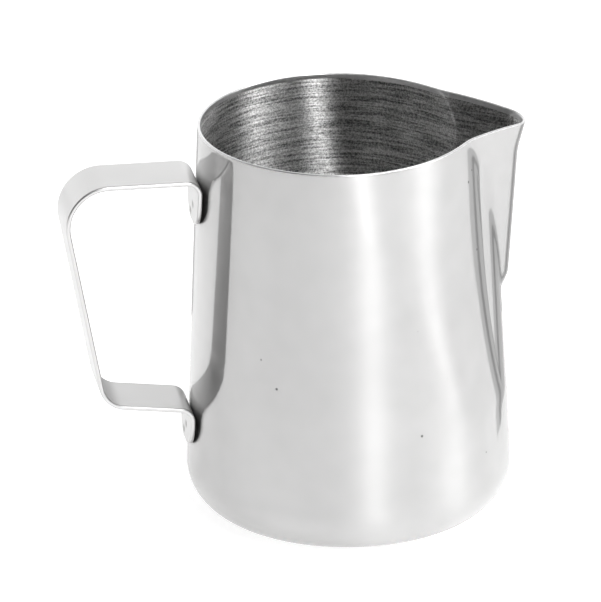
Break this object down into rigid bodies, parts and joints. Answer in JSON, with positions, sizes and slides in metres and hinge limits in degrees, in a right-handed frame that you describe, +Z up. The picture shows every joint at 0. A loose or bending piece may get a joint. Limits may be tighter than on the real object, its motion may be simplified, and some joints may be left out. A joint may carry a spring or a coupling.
{
  "type": "milk frothing pitcher",
  "caption": "Stainless steel milk frothing pitcher with a pulled pouring spout and a bent strap handle, for steaming and pouring milk.",
  "frame": {"origin": "centre of the flat base, on the underside", "axes": "+X towards the spout, with the handle on -X, +Y to the left seen from behind the handle, +Z up along the jug's axis"},
  "size_m": [0.1251, 0.0876, 0.108],
  "materials": {
    "polished_steel": "mirror polished outside, fine satin turning marks inside",
    "strap_steel": "softly polished",
    "weld_steel": "dull spot weld"
  },
  "bodies": {
    "root": {"jug_body": "polished_steel", "handle_strap": "strap_steel", "upper_spot_welds": "weld_steel", "lower_spot_welds": "weld_steel"}
  },
  "joints": []
}
